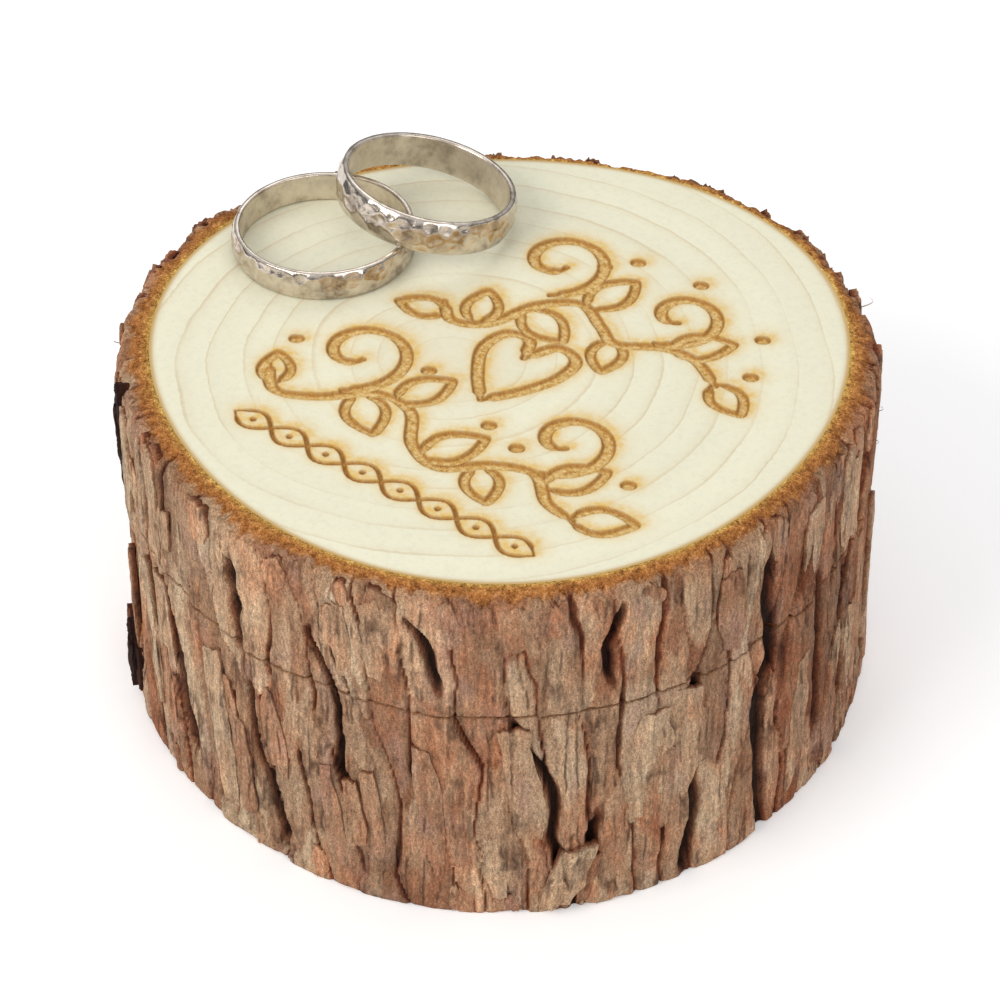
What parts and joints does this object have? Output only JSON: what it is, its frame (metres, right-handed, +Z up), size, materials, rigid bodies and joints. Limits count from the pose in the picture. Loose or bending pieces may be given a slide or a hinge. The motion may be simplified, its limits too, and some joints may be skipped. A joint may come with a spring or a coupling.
{
  "type": "ring bearer box",
  "caption": "Rustic ring bearer box sawn from a log with its bark on: a base with a cushioned ring cavity, an engraved lid that swivels on a screw, and wedding bands on the lid.",
  "frame": {"origin": "centre of the underside, on the log's axis, where the box stands", "axes": "+Z up; +X along the lid's engraved lines; +Y from their foot to their head, towards the pivot screw"},
  "size_m": [0.0882, 0.0876, 0.0542],
  "materials": {
    "wood": "sanded and bare, with fine growth rings and a scorched engraving",
    "bark": "rough, furrowed, grey brown to red brown",
    "bark_dark": "rough, dark weathered bark",
    "felt": "wool felt",
    "linen": "natural woven linen over foam",
    "steel": "zinc plated",
    "nickel": "bright nickel",
    "silver": "hammered outside, satin inside, bright edges"
  },
  "bodies": {
    "base": {"base_wood": "wood", "base_bark": "bark", "base_bark_chip": "bark", "base_bark_slab": "bark_dark", "felt_liner": "felt", "cushion_front": "linen", "cushion_back": "linen", "base_magnet": "nickel", "pivot_washer": "steel"},
    "lid": {"lid_wood": "wood", "lid_bark": "bark", "lid_bark_slab": "bark_dark", "lid_magnet": "nickel", "pivot_screw": "steel"},
    "band_narrow": {"ring_narrow": "silver"},
    "band_wide": {"ring_wide": "silver"}
  },
  "joints": [
    {"name": "lid_swivel", "type": "hinge", "parent": "base", "child": "lid", "pos_m": [0, 0.0335, 0.0291], "axis": [0, 0, 1], "continuous": true},
    {"name": "ring_narrow_lift", "type": "slide", "parent": "lid", "child": "band_narrow", "axis": [0, 0, 1], "range_m": [0, 0.04]},
    {"name": "ring_wide_lift", "type": "slide", "parent": "band_narrow", "child": "band_wide", "axis": [0, 0, 1], "range_m": [0, 0.04]}
  ]
}
